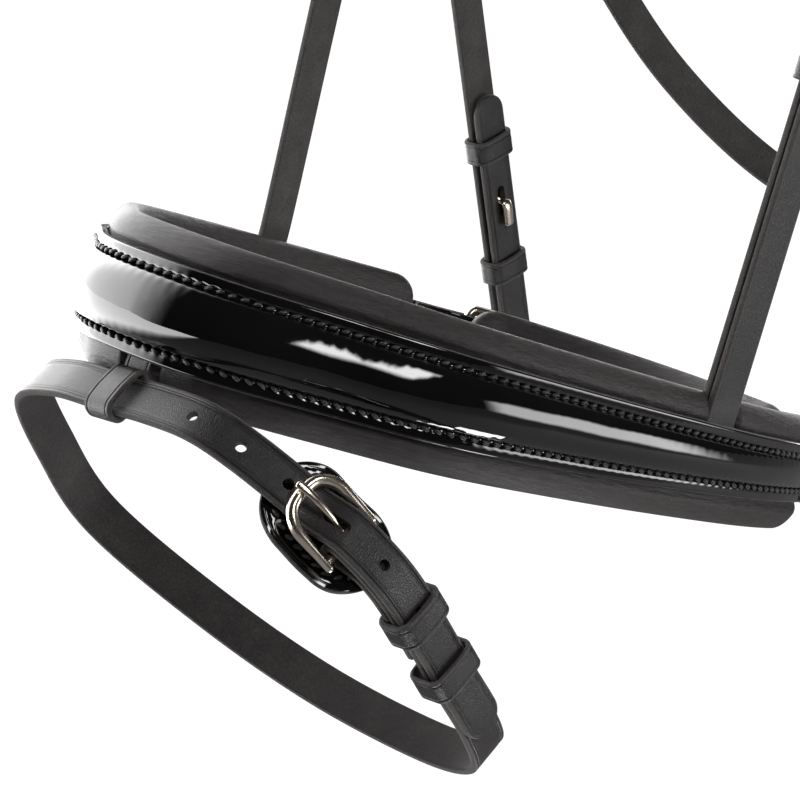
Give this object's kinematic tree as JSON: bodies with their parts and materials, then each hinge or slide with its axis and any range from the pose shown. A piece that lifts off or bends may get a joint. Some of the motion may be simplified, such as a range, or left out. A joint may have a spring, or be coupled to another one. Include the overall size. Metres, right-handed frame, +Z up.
{
  "type": "crank noseband bridle",
  "caption": "Leather bridle headgear with padded crown, rolled noseband with a crank fastening behind the jaw, flash strap, cheekpieces, throatlash and browband.",
  "frame": {"origin": "middle of the flat underside of the crown pad, where the bridle rests on the horse's poll", "axes": "+Z up, -Y towards the horse's nose, +X towards the horse's near (left) side"},
  "size_m": [0.2139, 0.372, 0.4664],
  "materials": {
    "leather": "dyed black bridle leather with creased edges",
    "patent leather": "polished black patent",
    "padding leather": "soft matt black leather over padding",
    "nickel": "polished nickel plate"
  },
  "bodies": {
    "headgear": {"noseband_strap": "patent leather", "noseband_pad": "padding leather", "crank_ring_far": "nickel", "crank_ring_near": "nickel", "crown_pad": "padding leather", "noseband_hanger": "leather", "noseband_headstrap": "leather", "hanger_buckle_frame": "nickel", "hanger_keeper": "leather", "headpiece": "leather", "billet_loop_near_1": "leather", "billet_loop_near_2": "leather", "billet_loop_far_1": "leather", "billet_loop_far_2": "leather", "hook_stud_near": "nickel", "hook_stud_far": "nickel", "throat_buckle_frame": "nickel", "throat_keeper": "leather", "browband": "leather", "browband_roll": "patent leather", "browband_loop_near": "leather", "browband_loop_far": "leather", "crank_strap": "leather", "crank_chape": "leather", "crank_buckle_frame": "nickel", "crank_keeper": "leather", "chin_pad": "padding leather", "flash_loop": "leather", "cheek_near": "leather", "cheek_near_buckle_frame": "nickel", "cheek_near_keeper": "leather", "cheek_far": "leather", "cheek_far_buckle_frame": "nickel", "cheek_far_keeper": "leather"},
    "flash": {"flash_strap": "leather", "flash_guard": "patent leather", "flash_buckle_frame": "nickel", "flash_keeper": "leather"},
    "hanger_tongue": {"hanger_buckle_tongue": "nickel"},
    "hanger_runner": {"hanger_runner": "leather"},
    "cheek_near_tongue": {"cheek_near_buckle_tongue": "nickel"},
    "cheek_near_runner": {"cheek_near_runner": "leather"},
    "cheek_far_tongue": {"cheek_far_buckle_tongue": "nickel"},
    "cheek_far_runner": {"cheek_far_runner": "leather"},
    "throat_tongue": {"throat_buckle_tongue": "nickel"},
    "throat_runner": {"throat_runner": "leather"},
    "crank_tongue": {"crank_buckle_tongue": "nickel"},
    "crank_runner": {"crank_runner": "leather"},
    "flash_tongue": {"flash_buckle_tongue": "nickel"},
    "flash_runner": {"flash_runner": "leather"}
  },
  "joints": [
    {"name": "flash_swing", "type": "hinge", "parent": "headgear", "child": "flash", "pos_m": [-0.00017, -0.27915, -0.33611], "axis": [1, 0, 0], "range_deg": [0, 7]},
    {"name": "hanger_tongue_swing", "type": "hinge", "parent": "headgear", "child": "hanger_tongue", "pos_m": [0.095, -0.07929, -0.23228], "axis": [0.0198, 0.9343, -0.3559], "range_deg": [0, 12]},
    {"name": "hanger_runner_slide", "type": "slide", "parent": "headgear", "child": "hanger_runner", "axis": [-0.0385, -0.355, -0.9341], "range_m": [-0.01, 0.01]},
    {"name": "cheek_near_tongue_swing", "type": "hinge", "parent": "headgear", "child": "cheek_near_tongue", "pos_m": [0.09726, -0.04366, -0.2219], "axis": [0.007, 0.9892, 0.1466], "range_deg": [0, 12]},
    {"name": "cheek_near_runner_slide", "type": "slide", "parent": "headgear", "child": "cheek_near_runner", "axis": [-0.0471, 0.1468, -0.9881], "range_m": [-0.006, 0.01]},
    {"name": "cheek_far_tongue_swing", "type": "hinge", "parent": "headgear", "child": "cheek_far_tongue", "pos_m": [-0.09726, -0.04366, -0.2219], "axis": [0.007, -0.9892, -0.1466], "range_deg": [0, 12]},
    {"name": "cheek_far_runner_slide", "type": "slide", "parent": "headgear", "child": "cheek_far_runner", "axis": [0.0471, 0.1468, -0.9881], "range_m": [-0.006, 0.01]},
    {"name": "throat_tongue_swing", "type": "hinge", "parent": "headgear", "child": "throat_tongue", "pos_m": [0.10064, -0.00955, -0.21443], "axis": [0, -0.891, -0.454], "range_deg": [0, 12]},
    {"name": "throat_runner_slide", "type": "slide", "parent": "headgear", "child": "throat_runner", "axis": [-0.0002, -0.454, 0.891], "range_m": [-0.004, 0.01]},
    {"name": "crank_tongue_swing", "type": "hinge", "parent": "headgear", "child": "crank_tongue", "pos_m": [-0.00023, -0.02181, -0.4262], "axis": [0, 0.4147, 0.91], "range_deg": [0, 12]},
    {"name": "crank_runner_slide", "type": "slide", "parent": "headgear", "child": "crank_runner", "axis": [-0.9751, -0.2019, 0.092], "range_m": [-0.002, 0.006]},
    {"name": "flash_tongue_swing", "type": "hinge", "parent": "flash", "child": "flash_tongue", "pos_m": [0.07348, -0.26673, -0.35995], "axis": [0, 0.887, 0.4617], "range_deg": [0, 12]},
    {"name": "flash_runner_slide", "type": "slide", "parent": "flash", "child": "flash_runner", "axis": [0.1198, 0.4584, -0.8806], "range_m": [-0.01, 0.008]}
  ]
}
